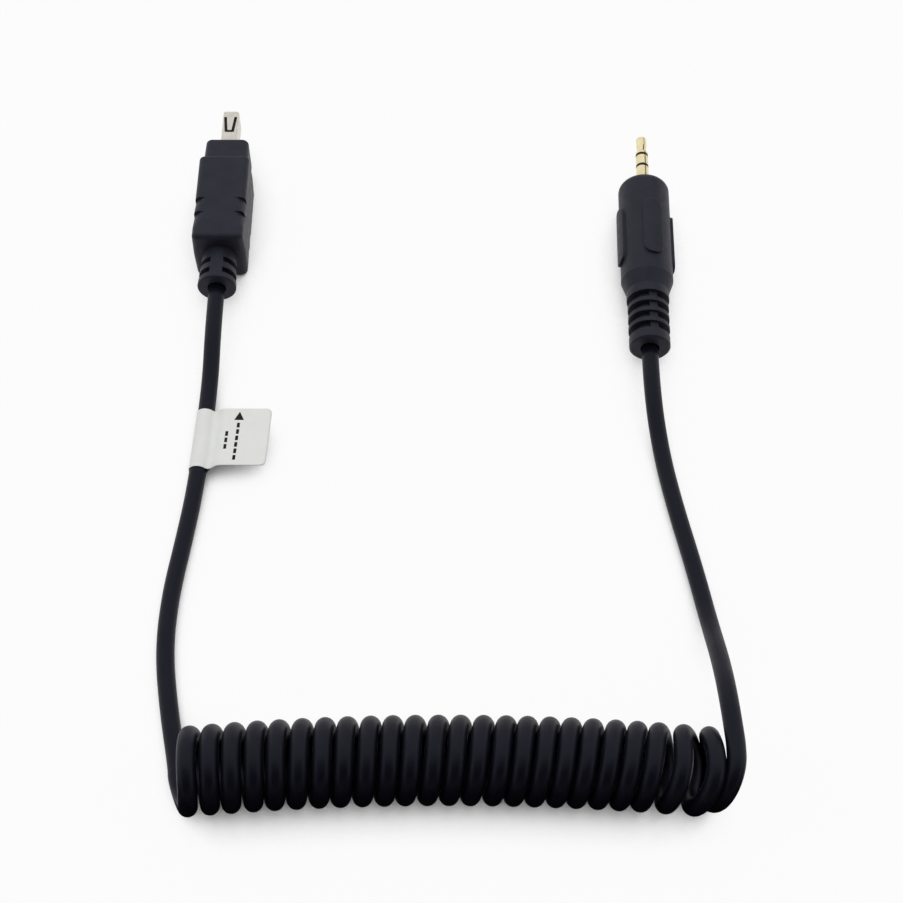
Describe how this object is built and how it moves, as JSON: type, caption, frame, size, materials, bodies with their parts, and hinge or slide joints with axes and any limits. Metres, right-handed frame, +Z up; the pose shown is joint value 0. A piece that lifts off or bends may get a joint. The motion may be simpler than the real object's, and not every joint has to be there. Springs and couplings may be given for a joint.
{
  "type": "remote shutter release lead",
  "caption": "Electrical remote shutter lead: a curly cord with a keyed camera plug on one end and a 2.5 mm three-pole jack on the other, and a flag label on the cord.",
  "frame": {"origin": "on the surface that the lead lies on, midway across and along the pair of plugs", "axes": "+X from the camera plug to the jack, +Y from the coil towards the plug tips, +Z up"},
  "size_m": [0.0975, 0.1526, 0.0145],
  "materials": {
    "plug_moulding": "satin moulded PVC",
    "cord_jacket": "semi-gloss extruded PVC",
    "contact_gold": "polished gold plating",
    "shell_nickel": "bright nickel plating on sheet metal",
    "insulator_black": "moulded plastic",
    "inner_moulding": "moulded polyethylene",
    "washer_natural": "moulded nylon",
    "lug_brass": "plain stamped brass",
    "clamp_steel": "tin-plated strip",
    "solder": "dull solder",
    "core_red": "extruded PVC",
    "core_white": "extruded PVC",
    "core_yellow": "extruded PVC",
    "label_white": "satin plastic film"
  },
  "bodies": {
    "camera_side": {"camera_plug_shell": "shell_nickel", "camera_plug_contacts": "contact_gold", "camera_plug_insulator": "insulator_black", "camera_focus_core": "core_yellow", "camera_ground_core": "core_white", "camera_shutter_core": "core_red", "camera_solder_joints": "solder", "camera_cord_tail": "cord_jacket", "camera_cord_clamp": "clamp_steel", "camera_plug_inner_mould": "plug_moulding", "camera_plug_body": "plug_moulding", "camera_side_cord": "cord_jacket", "curly_cord": "cord_jacket", "cord_label": "label_white"},
    "jack_side": {"jack_tip": "contact_gold", "jack_tip_insulator": "insulator_black", "jack_ring": "contact_gold", "jack_ring_insulator": "insulator_black", "jack_sleeve": "contact_gold", "jack_ring_lug": "lug_brass", "jack_tip_lug": "lug_brass", "jack_lug_washers": "washer_natural", "jack_ring_core": "core_yellow", "jack_sleeve_core": "core_white", "jack_tip_core": "core_red", "jack_solder_joints": "solder", "jack_cord_tail": "cord_jacket", "jack_cord_clamp": "clamp_steel", "jack_inner_mould": "inner_moulding", "jack_body": "plug_moulding", "jack_side_cord": "cord_jacket"}
  },
  "joints": [
    {"name": "coil_stretch", "type": "slide", "parent": "camera_side", "child": "jack_side", "axis": [1, 0, 0], "range_m": [0, 0.3], "stiffness_N_per_m": 6, "deforming": ["curly_cord"]}
  ]
}
